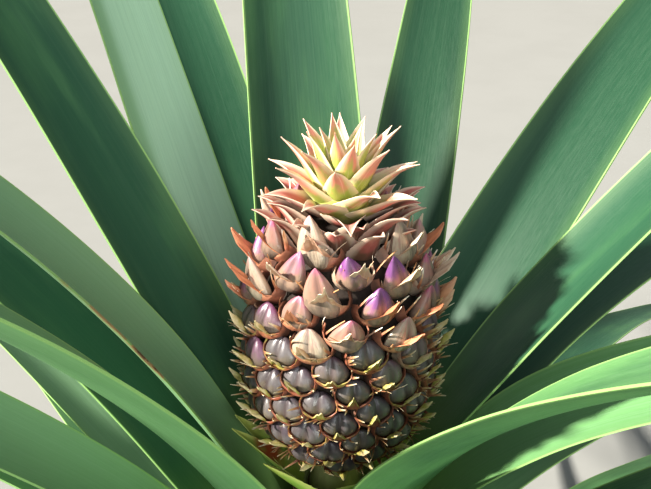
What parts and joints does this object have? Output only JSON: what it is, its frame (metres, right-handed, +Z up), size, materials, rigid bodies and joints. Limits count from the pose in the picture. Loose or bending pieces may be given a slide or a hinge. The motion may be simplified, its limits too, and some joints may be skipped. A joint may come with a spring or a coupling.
{
  "type": "pineapple plant",
  "caption": "Whole pineapple plant with a young fruit on a short stalk above an open rosette of long arching sword leaves, cut level at the ground.",
  "frame": {"origin": "middle of the flat cut under the stem, at ground level", "axes": "+Z up along the stem; the plant is seen from -Y, with +X to the right"},
  "size_m": [1.4075, 1.4138, 0.9475],
  "materials": {
    "leaf": "waxy grey-green blade with fine parallel veins and a pale yellow-green margin",
    "stem": "dull fibrous brown with ring scars",
    "stalk": "matt green-brown",
    "fruit": "matt taupe eyes with papery bracts, pink-purple buds in the top rows",
    "crown": "satin salmon leaflets with cream edges"
  },
  "bodies": {
    "root": {"stem": "stem", "fruit_stalk": "stalk", "foot_bracts": "leaf", "fruit": "fruit", "crown": "crown", "leaf_01": "leaf", "leaf_02": "leaf", "leaf_03": "leaf", "leaf_04": "leaf", "leaf_05": "leaf", "leaf_06": "leaf", "leaf_07": "leaf", "leaf_08": "leaf", "leaf_09": "leaf", "leaf_10": "leaf", "leaf_11": "leaf", "leaf_12": "leaf", "leaf_13": "leaf", "leaf_14": "leaf", "leaf_15": "leaf", "leaf_16": "leaf", "leaf_17": "leaf", "leaf_18": "leaf", "leaf_19": "leaf", "leaf_20": "leaf", "leaf_21": "leaf", "leaf_22": "leaf", "leaf_23": "leaf", "leaf_24": "leaf", "leaf_25": "leaf", "leaf_26": "leaf", "leaf_27": "leaf", "leaf_28": "leaf", "leaf_29": "leaf", "leaf_30": "leaf", "leaf_31": "leaf", "leaf_32": "leaf", "leaf_33": "leaf", "leaf_34": "leaf", "leaf_35": "leaf", "leaf_36": "leaf", "leaf_37": "leaf", "leaf_38": "leaf", "leaf_39": "leaf", "leaf_40": "leaf", "leaf_41": "leaf", "leaf_42": "leaf", "leaf_43": "leaf", "leaf_44": "leaf", "leaf_45": "leaf", "leaf_46": "leaf", "leaf_47": "leaf", "leaf_48": "leaf"}
  },
  "joints": []
}
